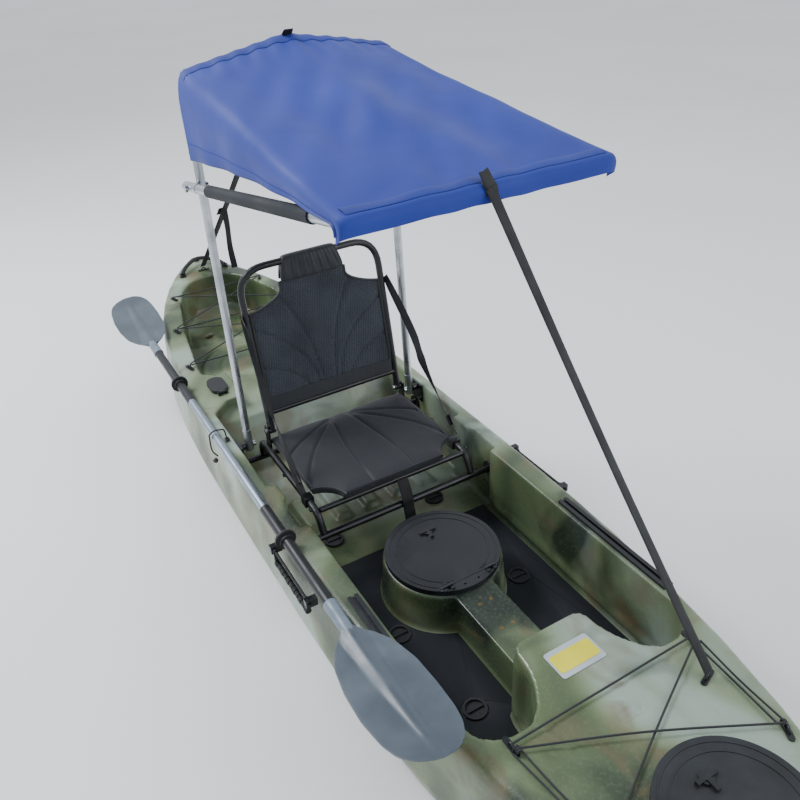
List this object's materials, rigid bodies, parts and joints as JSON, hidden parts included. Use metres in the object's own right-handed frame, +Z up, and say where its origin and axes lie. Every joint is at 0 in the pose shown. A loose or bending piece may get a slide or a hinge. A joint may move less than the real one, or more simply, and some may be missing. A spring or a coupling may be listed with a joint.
{
  "type": "sit-on-top kayak",
  "caption": "Sit-on-top paddling kayak with a framed folding seat, a folding sun canopy, two round hatches, gear tracks, rod holders and a two-part paddle.",
  "frame": {"origin": "bottom of the keel on the centreline, directly below the centre hatch", "axes": "+Z up, +Y towards the stern, the bow points along -Y, +X to port"},
  "size_m": [0.932, 3.75, 1.5505],
  "materials": {
    "rotomoulded_hull": "satin, camouflage pattern",
    "black_nylon": "satin",
    "black_rubber": "matte",
    "foam_mat": "matte foam",
    "brass": "turned",
    "black_tube": "powder coated",
    "bright_steel": "bright",
    "silver_tube": "anodised",
    "cord": "braided",
    "webbing": "woven",
    "seat_fabric": "ribbed",
    "seat_mesh": "spacer mesh",
    "canopy_cloth": "woven polyester",
    "blade_plastic": "moulded",
    "label": "blank label"
  },
  "bodies": {
    "boat": {"hull": "rotomoulded_hull", "floor_mat_port": "foam_mat", "floor_mat_starboard": "foam_mat", "scupper_plugs": "black_rubber", "brass_inserts": "brass", "gear_track_port": "black_nylon", "gear_track_starboard": "black_nylon", "deck_pad_eyes": "black_nylon", "tankwell_pad_eyes": "black_nylon", "deck_cord": "cord", "deck_bungee": "cord", "tankwell_bungee": "cord", "label_plate": "label", "side_handle_mounts": "black_nylon", "bow_handle": "black_nylon", "stern_handle": "black_nylon", "rod_holder_port": "black_nylon", "rod_holder_starboard": "black_nylon", "drain_plug": "black_nylon", "centre_hatch_ring": "black_nylon", "front_hatch_ring": "black_nylon", "hatch_hinge_pins": "bright_steel", "seat_base_frame": "black_tube", "seat_cross_bars": "black_tube", "seat_flanges": "black_nylon", "seat_pad": "seat_fabric", "seat_pivot_pins": "bright_steel", "seat_strap_port": "webbing", "seat_strap_starboard": "webbing", "seat_strap_buckles": "black_nylon", "seat_hold_down_strap": "webbing", "canopy_base_brackets": "black_nylon", "canopy_base_pins": "bright_steel", "canopy_front_strap": "webbing", "canopy_rear_strap": "webbing", "canopy_strap_buckle": "black_nylon", "paddle_keeper": "cord"},
    "seat_back": {"seat_back_frame": "black_tube", "seat_back_panel": "seat_mesh", "seat_headrest": "seat_fabric"},
    "centre_lid": {"centre_hatch_lid": "black_nylon"},
    "centre_latch": {"centre_hatch_latch": "black_nylon"},
    "front_lid": {"front_hatch_lid": "black_nylon"},
    "front_latch": {"front_hatch_latch": "black_nylon"},
    "canopy_main": {"canopy_main_bow": "silver_tube", "canopy_bow_connector": "silver_tube", "canopy_arm_pins": "bright_steel", "canopy_cloth": "canopy_cloth"},
    "canopy_front": {"canopy_front_bow": "silver_tube", "canopy_arm_sleeves": "black_rubber"},
    "handle_port": {"side_handle_port": "black_nylon"},
    "handle_starboard": {"side_handle_starboard": "black_nylon"},
    "cap_port": {"rod_cap_port": "black_nylon"},
    "cap_starboard": {"rod_cap_starboard": "black_nylon"},
    "paddle_near": {"paddle_shaft_near": "silver_tube", "paddle_blade_near": "blade_plastic", "paddle_drip_ring_near": "black_rubber"},
    "paddle_far": {"paddle_shaft_far": "silver_tube", "paddle_blade_far": "blade_plastic", "paddle_drip_ring_far": "black_rubber"}
  },
  "joints": [
    {"name": "seat_back_fold", "type": "hinge", "parent": "boat", "child": "seat_back", "pos_m": [0, 0.655, 0.399], "axis": [1, 0, 0], "range_deg": [0, 98], "deforming": ["seat_strap_port", "seat_strap_starboard"]},
    {"name": "centre_lid_hinge", "type": "hinge", "parent": "boat", "child": "centre_lid", "pos_m": [0, -0.1328, 0.2719], "axis": [1, 0, 0], "range_deg": [0, 105]},
    {"name": "centre_latch_turn", "type": "hinge", "parent": "centre_lid", "child": "centre_latch", "pos_m": [0, 0.083, 0.266], "axis": [0, 0, 1], "range_deg": [0, 90]},
    {"name": "front_lid_hinge", "type": "hinge", "parent": "boat", "child": "front_lid", "pos_m": [0, -1.1228, 0.41285], "axis": [1, 0, 0], "range_deg": [0, 105]},
    {"name": "front_latch_turn", "type": "hinge", "parent": "front_lid", "child": "front_latch", "pos_m": [0, -0.92, 0.40695], "axis": [0, 0, 1], "range_deg": [0, 90]},
    {"name": "canopy_fold", "type": "hinge", "parent": "boat", "child": "canopy_main", "pos_m": [0, 0.699, 0.342], "axis": [-1, 0, 0], "range_deg": [0, 58], "deforming": ["canopy_front_strap", "canopy_rear_strap", "canopy_strap_buckle"]},
    {"name": "front_bow_fold", "type": "hinge", "parent": "canopy_main", "child": "canopy_front", "pos_m": [0, 0.70969, 1.204], "axis": [-1, 0, 0], "range_deg": [0, 70], "deforming": ["canopy_cloth"]},
    {"name": "handle_port_swing", "type": "hinge", "parent": "boat", "child": "handle_port", "pos_m": [0.424, 0.1, 0.312], "axis": [0, -1, 0], "range_deg": [0, 95]},
    {"name": "handle_starboard_swing", "type": "hinge", "parent": "boat", "child": "handle_starboard", "pos_m": [-0.424, 0.1, 0.312], "axis": [0, 1, 0], "range_deg": [0, 95]},
    {"name": "rod_cap_port_flip", "type": "hinge", "parent": "boat", "child": "cap_port", "pos_m": [0.285, 1.018, 0.37714], "axis": [1, 0, 0], "range_deg": [0, 110]},
    {"name": "rod_cap_starboard_flip", "type": "hinge", "parent": "boat", "child": "cap_starboard", "pos_m": [-0.285, 1.018, 0.37714], "axis": [1, 0, 0], "range_deg": [0, 110]},
    {"name": "paddle_lift", "type": "slide", "parent": "boat", "child": "paddle_near", "axis": [0, 0, 1], "range_m": [0, 0.12], "deforming": ["paddle_keeper"]},
    {"name": "paddle_feather", "type": "hinge", "parent": "paddle_near", "child": "paddle_far", "pos_m": [-0.405, 0.645, 0.392], "axis": [0, -1, 0], "range_deg": [0, 60]}
  ],
  "couplings": [
    {"joint": "front_bow_fold", "follows": "canopy_fold", "ratio": 1.2}
  ]
}
